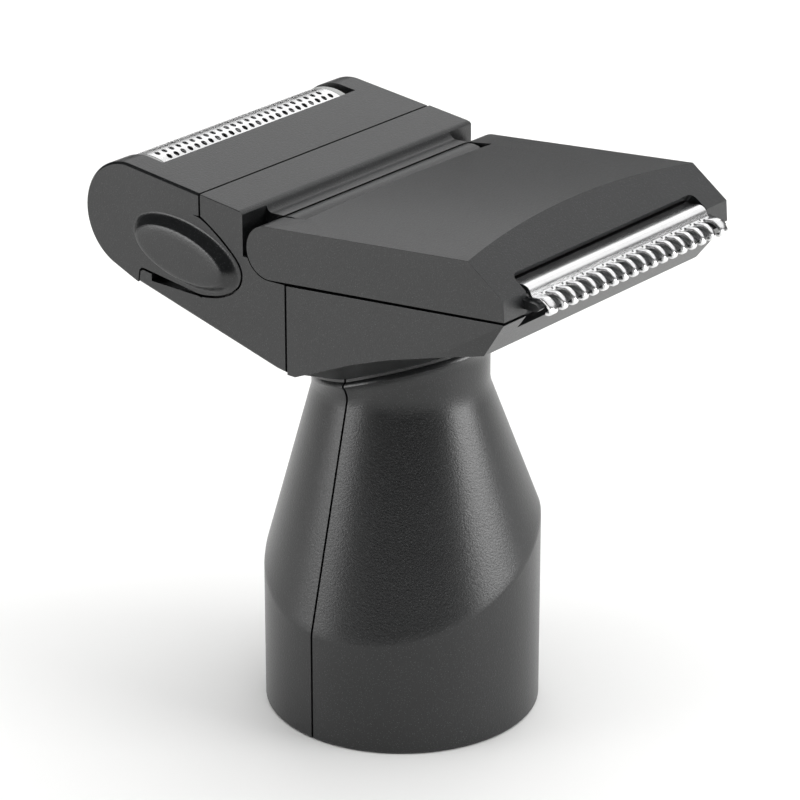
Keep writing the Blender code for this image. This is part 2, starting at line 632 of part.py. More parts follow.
def moving_blade():
    """Toothed blade that rubs under the comb, with its plastic carrier and the wire spring."""
    outline = [(26.8, 66.5), (31.1, 66.4), (31.6, 66.1), (32.1, 65.5), (33.9, 65.4), (34.4, 65.15),
               (34.4, 64.9), (33.9, 65.0), (31.9, 65.1), (31.3, 65.7), (30.9, 65.95), (26.8, 66.0)]
    blade = prism("moving_blade", outline, -MOVING_HALF, MOVING_HALF, parent=trimmer_axis)
    count = int(2 * MOVING_HALF / TOOTH_PITCH)
    for k in range(count):
        y = (k - (count - 1) / 2) * TOOTH_PITCH
        cut(blade, box(f"moving_slit_{k}", (32.4, y - 0.3, 62), (36, y + 0.3, 68), cutters))
    steel(blade)
    low, high = GAP, GAP + 0.9
    bar = [(6.9, base_top(6.9) + low), (26.3, base_top(26.3) + low), (26.3, base_top(26.3) + high),
           (6.9, base_top(6.9) + high)]
    carrier = prism("blade_carrier", bar, -11, 11, parent=trimmer_axis)
    cut(carrier, box("blade_fork", (5, -FORK_HALF, 60), (12.0, FORK_HALF, 70), cutters))
    for side in (-1, 1):
        inner, outer = sorted((side * 5.0, side * 20))
        cut(carrier, box(f"carrier_waist_{side:+d}", (5, inner, 60), (19, outer, 70), cutters))
    inner_plastic(carrier)


def blade_spring():
    """Bent wire that presses the moving blade up against the comb."""
    curve = bpy.data.curves.new("blade_spring", "CURVE")
    curve.dimensions = "3D"
    curve.bevel_depth = 0.3 * MM
    curve.bevel_resolution = 2
    curve.use_fill_caps = True
    bend = [(15.4 + 1.6 * math.cos(a), -8.0 + 1.6 * math.sin(a)) for a in
            [math.radians(270 - 22.5 * k) for k in range(5)]]
    route = [(24.2, -9.6), *bend, *[(x, -y) for x, y in reversed(bend)], (24.2, 9.6)]
    spline = curve.splines.new("POLY")
    spline.points.add(len(route) - 1)
    for point, (x, y) in zip(spline.points, route):
        point.co = (x * MM, y * MM, (base_top(x) + 1.8) * MM, 1)
    steel(place(bpy.data.objects.new("blade_spring", curve), parts, trimmer_axis))


housing_rear()
housing_front()
hinge()
screws()
coupling_ring()
drive_bulkhead()
drive_lever()
drive_slider()
cassette_frame()
foil()
undercutter()
trimmer_cover()
trimmer_base()
fixed_blade()
moving_blade()
blade_spring()
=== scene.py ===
import json
import math

import bmesh
import bpy
from mathutils import Matrix, Vector


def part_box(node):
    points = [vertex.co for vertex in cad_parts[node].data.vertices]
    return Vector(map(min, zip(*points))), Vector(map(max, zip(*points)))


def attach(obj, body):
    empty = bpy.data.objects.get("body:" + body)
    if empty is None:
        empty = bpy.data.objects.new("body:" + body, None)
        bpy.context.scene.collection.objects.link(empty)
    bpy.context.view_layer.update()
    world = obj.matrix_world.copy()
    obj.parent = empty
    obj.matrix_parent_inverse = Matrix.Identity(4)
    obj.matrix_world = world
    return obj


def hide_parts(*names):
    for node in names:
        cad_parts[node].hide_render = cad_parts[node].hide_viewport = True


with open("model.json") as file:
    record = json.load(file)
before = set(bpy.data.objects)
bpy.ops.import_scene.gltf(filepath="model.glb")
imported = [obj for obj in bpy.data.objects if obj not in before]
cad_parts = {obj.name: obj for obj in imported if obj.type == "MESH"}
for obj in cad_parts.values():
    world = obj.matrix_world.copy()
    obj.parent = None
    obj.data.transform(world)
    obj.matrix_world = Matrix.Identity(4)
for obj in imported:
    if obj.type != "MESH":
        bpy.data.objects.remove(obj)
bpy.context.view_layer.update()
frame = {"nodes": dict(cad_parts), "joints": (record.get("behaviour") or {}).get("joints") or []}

# Looks of the two-ended groomer head. Lengths are in millimetres, and x is measured from the base's axis.
mm = 0.001
clearance = 0.15                 # half of the gap that neighbouring shells keep
sharpFrom = math.radians(24)     # an edge with a smaller bend counts as smooth
past = 30                        # tools that open a side reach this far, well past it

ringLow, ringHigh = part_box("coupling_ring")
axisX = (ringLow.x + ringHigh.x) / 2 / mm
flip = next(joint for joint in frame["joints"] if joint["name"] == "trimmer_flip")
hinge = (flip["pos_m"][0] / mm - axisX, flip["pos_m"][2] / mm)
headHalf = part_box("housing_front")[1].y / mm


# points and outlines

def spot(x, y, z):
    return Vector(((x + axisX) * mm, y * mm, z * mm))


def arcPoints(centre, radius, start, end, steps):
    angles = [math.radians(start + (end - start) * k / steps) for k in range(steps + 1)]
    return [(centre[0] + radius * math.cos(a), centre[1] + radius * math.sin(a)) for a in angles]


def ovalPoints(centre, axes, tilt, steps):
    points = []
    for k in range(steps):
        a = 2 * math.pi * k / steps
        u, v = axes[0] * math.cos(a), axes[1] * math.sin(a)
        points.append((centre[0] + u * math.cos(tilt) - v * math.sin(tilt),
                       centre[1] + u * math.sin(tilt) + v * math.cos(tilt)))
    return points


def roundCorners(outline, radius, steps=4):      # each corner of a flat outline becomes a small curve
    points = []
    for k, here in enumerate(outline):
        before, after = Vector(outline[k - 1]), Vector(outline[(k + 1) % len(outline)])
        corner = Vector(here)
        inward, onward = before - corner, after - corner
        cut = min(radius, inward.length * 0.45, onward.length * 0.45)
        start, end = corner + inward.normalized() * cut, corner + onward.normalized() * cut
        for step in range(steps + 1):
            t = step / steps
            curve = start * (1 - t) ** 2 + corner * 2 * t * (1 - t) + end * t ** 2
            points.append((curve.x, curve.y))
    return points


# meshes

def fromBmesh(name, bm):
    bmesh.ops.recalc_face_normals(bm, faces=bm.faces)
    mesh = bpy.data.meshes.new(name)
    bm.to_mesh(mesh)
    bm.free()
    piece = bpy.data.objects.new(name, mesh)
    bpy.context.scene.collection.objects.link(piece)
    return piece


def loft(name, rings, flat=False):               # closed body through rings of equal point count
    bm = bmesh.new()
    loops = [[bm.verts.new(spot(*point)) for point in ring] for ring in rings]
    for lower, upper in zip(loops, loops[1:]):
        for k in range(len(lower)):
            bm.faces.new((lower[k - 1], lower[k], upper[k], upper[k - 1]))
    bm.faces.new(loops[0])
    bm.faces.new(loops[-1])
    if not flat:
        bmesh.ops.triangulate(bm, faces=bm.faces)
    return fromBmesh(name, bm)


def extrude(name, outline, low, high):           # outline in x and z, between two y planes
    return loft(name, [[(x, y, z) for x, z in outline] for y in (low, high)], flat=True)


def boxShape(name, low, high):
    corners = [(low[0], low[2]), (high[0], low[2]), (high[0], high[2]), (low[0], high[2])]
    return extrude(name, corners, low[1], high[1])


def rodShape(name, start, end, radius, sides=48, endRadius=None):
    start, end = spot(*start), spot(*end)
    turn = Vector((0, 0, 1)).rotation_difference(end - start).to_matrix().to_4x4()
    bm = bmesh.new()
    bmesh.ops.create_cone(bm, cap_ends=True, segments=sides, radius1=radius * mm,
                          radius2=(endRadius or radius) * mm, depth=(end - start).length)
    bmesh.ops.transform(bm, matrix=Matrix.Translation((start + end) / 2) @ turn, verts=bm.verts)
    return fromBmesh(name, bm)


def soften(piece, width, chosen=lambda x, y, z: True, segments=4, profile=0.5):  # rounds sharp edges
    bm = bmesh.new()
    bm.from_mesh(piece.data)
    edges = []
    for edge in bm.edges:
        if len(edge.link_faces) == 2 and edge.calc_face_angle() > sharpFrom:
            middle = (edge.verts[0].co + edge.verts[1].co) / 2 / mm
            if chosen(middle.x - axisX, middle.y, middle.z):
                edges.append(edge)
    bmesh.ops.bevel(bm, geom=edges, offset=width * mm, offset_type="OFFSET", segments=segments,
                    profile=profile, affect="EDGES", clamp_overlap=True)
    bm.to_mesh(piece.data)
    bm.free()


def carve(piece, add=(), cut=()):                # Boolean steps, applied at once
    for operation, tools in (("UNION", add), ("DIFFERENCE", cut)):
        for tool in tools:
            step = piece.modifiers.new(tool.name, "BOOLEAN")
            step.operation, step.solver, step.object = operation, "EXACT", tool
    view = bpy.context.evaluated_depsgraph_get()
    mesh = bpy.data.meshes.new_from_object(piece.evaluated_get(view))
    piece.modifiers.clear()
    piece.data = mesh
    for tool in [*add, *cut]:
        bpy.data.objects.remove(tool)


def merge(name, pieces):                         # one mesh object out of several that don't touch
    bm = bmesh.new()
    for piece in pieces:
        bm.from_mesh(piece.data)
        bpy.data.objects.remove(piece)
    return fromBmesh(name, bm)


def dress(piece, material, body, slotName, *nodes, angle=30):
    piece.data.shade_smooth()
    piece.data.set_sharp_from_angle(angle=math.radians(angle))
    weighted = piece.modifiers.new("weightedNormals", "WEIGHTED_NORMAL")
    weighted.keep_sharp = True
    piece.data.materials.clear()
    piece.data.materials.append(material)
    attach(piece, body)
    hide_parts(*nodes)


# materials

def linear(hexColour):                           # sRGB hex to the linear values that shaders take
    channels = [int(hexColour[k:k + 2], 16) / 255 for k in (1, 3, 5)]
    return (*[c / 12.92 if c <= 0.04045 else ((c + 0.055) / 1.055) ** 2.4 for c in channels], 1)


def addNode(tree, kind, settings=None, links=None):
    node = tree.nodes.new(kind)
    for key, value in (settings or {}).items():
        if isinstance(key, str) and hasattr(node, key):
            setattr(node, key, value)
        else:
            node.inputs[key].default_value = value
    for key, socket in (links or {}).items():
        tree.links.new(socket, node.inputs[key])
    return node


def newMaterial(name, roughness, metallic=0.0, ior=None):
    material = bpy.data.materials.new(name)
    material.use_nodes = True
    tree = material.node_tree
    shader = tree.nodes["Principled BSDF"]
    shader.inputs["Roughness"].default_value = roughness
    shader.inputs["Metallic"].default_value = metallic
    if ior:
        shader.inputs["IOR"].default_value = ior
    return material, tree, shader


def perMetre(size):                              # noise scale for a pattern of that size in mm
    return 1 / (size * mm)


def texturedPlastic(name, look):
    # spark-eroded mould texture: the grain's bump breaks the highlights up, and painted glints (lighter
    # colour on small spots) stand in for light caught on its peaks
    material, tree, shader = newMaterial(name, look["roughness"][0], ior=look["ior"])
    place = addNode(tree, "ShaderNodeTexCoord").outputs["Object"]
    grain = addNode(tree, "ShaderNodeTexNoise", {"Scale": perMetre(look["grain"]), "Detail": 2.0},
                    {"Vector": place})
    glint = addNode(tree, "ShaderNodeTexVoronoi", {"Scale": perMetre(look["glint"])}, {"Vector": place})
    cloud = addNode(tree, "ShaderNodeTexNoise", {"Scale": perMetre(look["cloud"]), "Detail": 3.0},
                    {"Vector": place})
    tone = addNode(tree, "ShaderNodeMapRange", {"From Min": 0.3, "From Max": 0.7},
                   {"Value": cloud.outputs["Fac"]})
    body = addNode(tree, "ShaderNodeMix",
                   {"data_type": "RGBA", 6: linear(look["dark"]), 7: linear(look["base"])},
                   {0: tone.outputs["Result"]})
    # painted glints: the base colour turns lighter towards the spots' centres, lit or not
    paintedGlint = addNode(tree, "ShaderNodeMapRange",
                   {"From Min": 0.22, "From Max": 0.08, "To Max": look["glintShare"]},
                   {"Value": glint.outputs["Distance"]})
    colour = addNode(tree, "ShaderNodeMix", {"data_type": "RGBA", 7: linear(look["paintedGlint"])},
                     {0: paintedGlint.outputs["Result"], 6: body.outputs[2]})
    rough = addNode(tree, "ShaderNodeMapRange",
                    {"To Min": look["roughness"][0], "To Max": look["roughness"][1]},
                    {"Value": grain.outputs["Fac"]})
    relief = addNode(tree, "ShaderNodeBump", {"Strength": look["bump"], "Distance": 0.025 * mm},
                     {"Height": grain.outputs["Fac"]})
    tree.links.new(colour.outputs[2], shader.inputs["Base Color"])
    tree.links.new(rough.outputs["Result"], shader.inputs["Roughness"])
    tree.links.new(relief.outputs["Normal"], shader.inputs["Normal"])
    return material


def finishedSteel(name, look):
    # ground or polished metal: fine lines along one direction stretch the highlights across them
    material, tree, shader = newMaterial(name, look["roughness"][0], metallic=1.0)
    place = addNode(tree, "ShaderNodeTexCoord").outputs["Object"]
    lines = addNode(tree, "ShaderNodeMapping", {"Scale": look["stretch"]}, {"Vector": place})
    grind = addNode(tree, "ShaderNodeTexNoise", {"Scale": perMetre(look["line"]), "Detail": 3.0},
                    {"Vector": lines.outputs["Vector"]})
    stain = addNode(tree, "ShaderNodeTexNoise", {"Scale": perMetre(look["cloud"]), "Detail": 2.0},
                    {"Vector": place})
    colour = addNode(tree, "ShaderNodeMix",
                     {"data_type": "RGBA", 6: linear(look["dark"]), 7: linear(look["base"])},
                     {0: stain.outputs["Fac"]})
    rough = addNode(tree, "ShaderNodeMapRange",
                    {"To Min": look["roughness"][0], "To Max": look["roughness"][1]},
                    {"Value": grind.outputs["Fac"]})
    relief = addNode(tree, "ShaderNodeBump", {"Strength": look["bump"], "Distance": 0.01 * mm},
                     {"Height": grind.outputs["Fac"]})
    tree.links.new(colour.outputs[2], shader.inputs["Base Color"])
    tree.links.new(rough.outputs["Result"], shader.inputs["Roughness"])
    tree.links.new(relief.outputs["Normal"], shader.inputs["Normal"])
    return material


# Grain, glint, line and cloud are sizes in mm. Real mould grain is about 0.05 mm and grinding lines
# about 0.02 mm, too fine to show, so both are drawn several times coarser.

# charcoal ABS in a spark-eroded tool: dark, semi-matt, with a fine sparkle where light grazes its grain, and
# painted glints in its colour
charcoalAbs = texturedPlastic("charcoalAbsSparkTexture", {
    "dark": "#101112", "base": "#151617", "paintedGlint": "#626465", "ior": 1.54, "roughness": (0.26, 0.38),
    "grain": 0.24, "glint": 0.22, "glintShare": 0.6, "cloud": 9.0, "bump": 1.0})
# grey ABS of the foil's end strips: the same grain and painted glints, but light
greyAbs = texturedPlastic("greyAbsMoulded", {
    "dark": "#8b8c8b", "base": "#a3a4a3", "paintedGlint": "#b5b6b5", "ior": 1.54, "roughness": (0.40, 0.52),
    "grain": 0.20, "glint": 0.40, "glintShare": 0.2, "cloud": 6.0, "bump": 0.2})
# natural acetal of the drive: milky white with faint flow marks and a few painted glints
naturalAcetal = texturedPlastic("naturalAcetalMoulded", {
    "dark": "#c9c8c0", "base": "#dedcd4", "paintedGlint": "#e8e7e0", "ior": 1.48, "roughness": (0.30, 0.40),
    "grain": 0.5, "glint": 0.8, "glintShare": 0.1, "cloud": 5.0, "bump": 0.1})
# electroformed nickel: mirror bright, only softened by a faint matt haze
nickelFoil = finishedSteel("electroformedNickelFoil", {
    "dark": "#e9e9ea", "base": "#f6f6f6", "roughness": (0.20, 0.34), "stretch": (1, 1, 1), "line": 0.30,
    "cloud": 3.0, "bump": 0.04})
# polished comb steel: broad white highlights with faint lines along the edge
combSteel = finishedSteel("polishedCombSteel", {
    "dark": "#dcdcdd", "base": "#f1f1f1", "roughness": (0.16, 0.30), "stretch": (1, 0.05, 1), "line": 0.12,
    "cloud": 4.0, "bump": 0.15})
# ground cutter steel: grey, with lines from the grinding wheel along the blade
groundSteel = finishedSteel("groundCutterSteel", {
    "dark": "#8c8d8e", "base": "#a7a8a9", "roughness": (0.34, 0.50), "stretch": (1, 0.04, 1), "line": 0.10,
    "cloud": 3.0, "bump": 0.35})
# drawn stainless wire and turned screws: brighter along the length, with turning marks round them
drawnSteel = finishedSteel("drawnStainlessSteel", {
    "dark": "#a9aaab", "base": "#c6c7c8", "roughness": (0.22, 0.36), "stretch": (0.1, 1, 1), "line": 0.15,
    "cloud": 2.0, "bump": 0.2})
print("materials made")


# housing: two half shells that meet at the seam through the base's axis

housing = {
    "baseRadius": 17.0, "rimRound": 0.45,
    "creaseMiddle": 21.6, "creaseTilt": 7.6, "creaseTurn": math.radians(103.4), "creaseTop": 25.2,
    "creaseRound": 0.3,
    "neckZ": 42.0, "neckHalfX": 11.2, "neckHalfY": 10.35,
    "lipZ": 44.6, "lipRiseFront": 4.0, "lipRiseRear": 2.6, "lipOut": 0.75, "flare": 2.0, "flareLoss": 1.1,
    "ringSteps": 144, "socketRadius": 15.4, "socketDepth": 11.4, "cavityHalf": 17.4,
    "topRear": (-25.0, 69.75), "topSlope": -0.094, "deckRear": (-22.7, 57.0), "deckSlope": -0.12,
    "floorRear": (-2.5, 60.65), "floorSlope": 0.108, "jointX": -13.3, "stripFront": -6.7,
    "collarTop": 52.0, "edgeRound": 0.45, "chinHalf": 19.94,
    "bedGap": 0.14, "tongueBedDepth": 1.9,
    "screwY": 13.0, "screwZ": 58.0, "bossRadius": 2.0, "screwHole": 1.2, "headHole": 1.95,
}


def wingTop(x):                                  # top face of the shaver's side
    return housing["topRear"][1] + housing["topSlope"] * (x - housing["topRear"][0])


def deck(x):                                     # face that the cassette slides on
    return housing["deckRear"][1] + housing["deckSlope"] * (x - housing["deckRear"][0])


def trimmerFloor(x):                             # face that the closed trimmer head rests on
    return housing["floorRear"][1] + housing["floorSlope"] * (x - housing["floorRear"][0])


def crease(angle):                               # the cone meets the base along a slanted line
    slant = housing["creaseMiddle"] + housing["creaseTilt"] * math.cos(angle - housing["creaseTurn"])
    return min(slant, housing["creaseTop"])


def lip(angle):                                  # the neck's lip climbs towards the trimmer
    side = math.cos(angle)
    return housing["lipZ"] + (housing["lipRiseFront"] if side > 0 else housing["lipRiseRear"]) * side


def flareStart(angle):
    return lip(angle) - housing["flare"] - housing["flareLoss"] * min(0, math.cos(angle))


def lipOut(angle, share=1.0):                    # no lip at the rear, full from the middle on
    return housing["lipOut"] * share * min(1, max(0, (math.cos(angle) + 0.75) / 0.75))


def coneRadius(angle, z):
    top = 1 / math.hypot(math.cos(angle) / housing["neckHalfX"], math.sin(angle) / housing["neckHalfY"])
    share = (z - crease(angle)) / (housing["neckZ"] - crease(angle))
    fall = min(1.04, share)                      # the top of the cone runs straight up
    return housing["baseRadius"] + (top - housing["baseRadius"]) * fall


def neckRadius(angle):
    return coneRadius(angle, flareStart(angle))


def ring(radiusOf, zOf, steps=0):
    steps = steps or housing["ringSteps"]
    angles = [2 * math.pi * k / steps for k in range(steps)]
    return [(radiusOf(a) * math.cos(a), radiusOf(a) * math.sin(a), zOf(a)) for a in angles]


def tower(name):
    h = housing
    rings = []
    for k in range(5):                           # rounded rim
        a = math.radians(90 * k / 4)
        inset, z = h["rimRound"] * (1 - math.sin(a)), h["rimRound"] * (1 - math.cos(a))
        rings.append(ring(lambda angle: h["baseRadius"] - inset, lambda angle: z))
    rings.append(ring(lambda angle: h["baseRadius"], lambda angle: crease(angle) - h["creaseRound"]))
    for k in range(25):                          # cone
        share = (k / 24) if k else 0.012
        def height(angle):
            return crease(angle) + (flareStart(angle) - crease(angle)) * share
        rings.append(ring(lambda angle: coneRadius(angle, height(angle)), height))
    for k in range(1, 9):                        # flare up to the lip, then back in to the collar
        t = k / 8
        def flareHeight(angle):
            return flareStart(angle) + (lip(angle) - flareStart(angle)) * t
        rings.append(ring(lambda angle: neckRadius(angle) + lipOut(angle, t ** 2.2), flareHeight))
    for out, up in ((0.92, 0.22), (0.7, 0.42), (0.45, 0.55), (0.35, 1.2)):
        rings.append(ring(lambda angle: neckRadius(angle) + lipOut(angle, out),
                          lambda angle: lip(angle) + up))
    rings.append(ring(lambda angle: neckRadius(angle) + lipOut(angle, 0.3), lambda angle: h["collarTop"]))
    return loft(name, rings)


def belly(name):                                 # funnel from the collar to the head's lower edges
    bm = bmesh.new()
    start = ring(lambda angle: neckRadius(angle) + 0.3, lambda angle: lip(angle) + 0.9, 96)
    corners = [(-13.0, 52.65), (-7.0, 51.2), (-1.5, 49.85), (0.0, 49.6), (1.3, 49.7), (10.0, 53.45),
               (10.0, 55.5), (-13.0, 55.5)]
    edges = [(x, side * (headHalf - 0.45), z + 0.05) for x, z in corners for side in (-1, 1)]
    for point in start + edges:
        bm.verts.new(spot(*point))
    hull = bmesh.ops.convex_hull(bm, input=bm.verts)
    bmesh.ops.delete(bm, geom=hull["geom_interior"], context="VERTS")
    return fromBmesh(name, bm)


def housingCavity(name):
    def flat(height, radiusX, radiusY):
        return [(radiusX * math.cos(a), radiusY * math.sin(a), height)
                for a in [2 * math.pi * k / 64 for k in range(64)]]
    deep, socket = housing["socketDepth"], housing["socketRadius"]
    channel = loft(name + "Channel", [flat(-1, socket + 0.4, socket + 0.4), flat(0.4, socket, socket),
                                      flat(deep, socket, socket), flat(deep + 0.05, 14.2, 14.2),
                                      flat(housing["neckZ"], 9.2, 8.3), flat(53, 9.2, 8.3)])
    room = extrude(name + "Room", [
        (27.0, 60.6), (27.0, 61.6), (0.0, 58.9), (-6.5, 58.3), (-8.3, 61.0), (-8.3, 66.1), (-11.3, 66.4),
        (-11.3, 54.0), (-1.0, 51.3), (1.2, 51.2), (10.0, 54.9), (15.0, 56.9), (22.0, 59.2)],
        -housing["cavityHalf"], housing["cavityHalf"])
    return [channel, room]


def tongue(grow):                                # rounded tongue of the cassette, grown by the gap round it
    jointX = housing["jointX"]
    outline = [(jointX - 8, 55.95 - grow), (-13.0, 55.95 - grow), (-10.5, 56.45 - grow),
               (-8.4 + grow * 0.6, 57.4 - grow * 0.7), (-7.0 + grow, 58.8), (-6.7 + grow, 60.2),
               (-7.1 + grow, 61.3 + grow * 0.5), (-8.1 + grow * 0.7, 62.4 + grow * 0.7),
               (-10.0 + grow * 0.4, 63.9 + grow), (-12.0, 65.2 + grow), (-13.5 + grow, 65.95 + grow),
               (jointX - 8, 65.95 + grow)]
    return [outline[0]] + roundCorners(outline, 0.9, 3)[4:-4] + [outline[-1]]


def bosses(name, lowX, highX, radius):
    y, z = housing["screwY"], housing["screwZ"]
    return [rodShape(f"{name}{side}", (lowX, side * y, z), (highX, side * y, z), radius, 32)
            for side in (-1, 1)]


def housingRear():
    bed = arcPoints(hinge, trimmer["earRadius"] + housing["bedGap"], 110, 270, 24)
    jointX, front, rear = housing["jointX"], housing["stripFront"], housing["deckRear"][0]
    stripEdge = roundCorners([(-3.95, 67.1), (-6.1, 66.95), (front, wingTop(front)),
                              (front - 2.5, wingTop(front - 2.5))], 0.6)[5:15]
    outline = [(0.6, 49.5), (0.6, 60.67), *reversed(bed), *stripEdge,
               (jointX + clearance, wingTop(jointX)), (jointX + clearance, deck(jointX) - clearance),
               (rear, deck(rear) - clearance), (-23.1, 56.6), (-23.3, 55.1), (-1.5, 49.8)]
    shell = extrude("housingRearShell", outline, -headHalf, headHalf)
    soften(shell, housing["edgeRound"],
           lambda x, y, z: abs(y) > headHalf - 0.1 and z > wingTop(x) - 0.05 and x < front + 0.5, 4, 0.3)
    soften(shell, housing["edgeRound"], lambda x, y, z: abs(y) > headHalf - 0.1 and z < 55.2)
    carve(shell, add=[belly("rearBelly"), tower("rearTower")])
    tools = [boxShape("rearHalf", (-clearance, -40, -5), (40, 40, 80)), *housingCavity("rear")]
    for side in (-1, 1):
        low, high = sorted((side * (headHalf - housing["tongueBedDepth"]), side * past))
        tools.append(extrude(f"tongueBed{side}", tongue(clearance), low, high))
        low, high = sorted((side * (trimmer["earInner"] - 2 * clearance), side * past))
        tools.append(boxShape(f"earBed{side}", (front + clearance, low, 62.6), (3, high, 75)))
    tools.append(boxShape("rearFingerSlot", (-14, -4, 59.6), (-11, 4, 63.0)))
    carve(shell, cut=tools)
    carve(shell, add=bosses("rearBoss", -12.5, -clearance, housing["bossRadius"]))
    carve(shell, cut=bosses("rearScrewHole", -20, 2, housing["screwHole"])
          + bosses("rearHeadHole", -20, -11.6, housing["headHole"]))
    dress(shell, charcoalAbs, "housing", "shell_plastic", "housing_rear")


def housingFront():
    outline = [(-0.6, 60.5), (31.9, trimmerFloor(31.9) - 0.3), (32.1, 64.0), (28.6, 59.2), (22.0, 57.5),
               (15.0, 55.3), (10.0, 53.4), (1.3, 49.5), (-0.6, 49.5)]
    shell = extrude("housingFrontShell", outline, -headHalf, headHalf)
    for corner in shell.data.vertices:           # the chin narrows downwards
        if corner.co.x > 25 * mm and corner.co.z < 60 * mm:
            corner.co.y *= housing["chinHalf"] / headHalf
    soften(shell, housing["edgeRound"], lambda x, y, z: z < 63.8 and x > -0.5 and (abs(y) > 19 or x > 26))
    carve(shell, add=[belly("frontBelly"), tower("frontTower")])
    recess = extrude("chinRecess", [(29.6, 66), (29.6, 62.5), (34, 61.9), (34, 66)],
                     -trimmer["slotHalf"], trimmer["slotHalf"])
    carve(shell, cut=[boxShape("frontHalf", (-40, -40, -5), (clearance, 40, 80)), *housingCavity("front"),
                      recess, boxShape("frontFingerSlot", (7.2, -4, 57), (11.6, 4, 65))])
    carve(shell, add=bosses("frontBoss", clearance, 9.0, housing["bossRadius"]))
    carve(shell, cut=bosses("frontScrewHole", -2, 7.5, housing["screwHole"]))
    dress(shell, charcoalAbs, "housing", "shell_plastic", "housing_front")


def hingeBarrel():
    reach = trimmer["earInner"] - 2 * clearance
    barrel = rodShape("hingeBarrelStrip", (hinge[0], -reach, hinge[1]), (hinge[0], reach, hinge[1]),
                      trimmer["earRadius"], 96)
    soften(barrel, 0.25)
    carve(barrel, cut=[rodShape("barrelBore", (hinge[0], -past, hinge[1]), (hinge[0], past, hinge[1]),
                                trimmer["pinRadius"])])
    dress(barrel, charcoalAbs, "housing", "shell_plastic", "hinge_barrel")


# foil shaver: the cassette that pulls off, with its thumb pads

cassette = {
    "centre": (-25.0, 62.85), "radius": 6.9, "rim": 0.55, "windowHalf": 17.4, "roomHalf": 18.7, "bore": 6.35,
    "seat": 6.95, "windowReach": 12, "tongueThick": 1.6, "tongueRound": 0.12,
    "padCentre": (-15.7, 60.8), "padFoot": (8.3, 3.85), "padFace": (6.9, 2.9),
    "padTilt": math.radians(-9), "padHeight": 1.4, "padSteps": 72,
    # each ring of the pad: share of the way from its foot to its face, and height out of 1.5
    "padRings": [(-0.35, -0.3), (-0.25, 0.0), (-0.08, 0.03), (0.12, 0.14), (0.34, 0.42), (0.62, 0.86),
                 (0.82, 1.16), (0.93, 1.29), (1.05, 1.37), (1.35, 1.43), (2.2, 1.50)],
}


def cassetteShell():
    c = cassette
    jointX = housing["jointX"] - clearance
    roundEnd = arcPoints(c["centre"], c["radius"], 95, 250, 48)
    outline = [housing["topRear"], *roundEnd, (-23.55, 55.15), (-23.3, 56.75),
               (-22.85, deck(-22.85) + clearance), *tongue(-clearance)[1:-1], (jointX, 65.9),
               (jointX, wingTop(jointX))]
    frameShell = extrude("foilCassetteShell", outline, -headHalf, headHalf)
    soften(frameShell, c["rim"],
           lambda x, y, z: abs(y) > headHalf - 0.1 and (z > wingTop(x) - 0.05 or (x < -25 and z > 56)),
           5, 0.3)
    soften(frameShell, c["tongueRound"],
           lambda x, y, z: abs(y) > headHalf - 0.05 and x > -23 and z < 66.5, 2)
    inner = headHalf - c["tongueThick"]
    carve(frameShell, cut=[boxShape("betweenTongues", (jointX, -inner, 50), (0, inner, 75))])
    pads = []
    for side in (-1, 1):
        rings = []
        for share, height in c["padRings"]:
            axes = [foot + (face - foot) * share for foot, face in zip(c["padFoot"], c["padFace"])]
            y = side * (headHalf + height * c["padHeight"] / 1.5)
            oval = ovalPoints(c["padCentre"], axes, c["padTilt"], c["padSteps"])
            rings.append([(x, y, z) for x, z in oval])
        pads.append(loft(f"thumbPad{side}", rings))
    carve(frameShell, add=pads)
    bore = arcPoints(c["centre"], c["bore"], 84, 262, 32)
    room = bore + [(-22.9, 57.6), (-22.9, 50), (-8, 50), (-8, 66.3)]
    seat = [c["centre"], *arcPoints(c["centre"], c["seat"], 47, 196, 40)]
    window = [c["centre"], *arcPoints(c["centre"], c["windowReach"], 67.9, 196, 8)]
    half = c["windowHalf"]
    carve(frameShell, cut=[extrude("cassetteRoom", room, -c["roomHalf"], c["roomHalf"]),
                           extrude("foilSeat", seat, -half + 0.02, half - 0.02),
                           extrude("foilWindow", window, -half, half)])
    dress(frameShell, charcoalAbs, "cassette", "shell_plastic", "cassette_frame")


foil = {
    "radius": 6.69, "thick": 0.12, "left": -16.7, "right": 15.1, "start": 55.35, "end": 193.9, "rows": 11,
    "holesPerRow": 25, "margin": 0.45, "holeLong": 0.55, "holeWide": 0.33, "holeTilt": math.radians(20),
    "strips": {"left": (-17.3, -16.75), "right": (15.15, 16.15)},
}


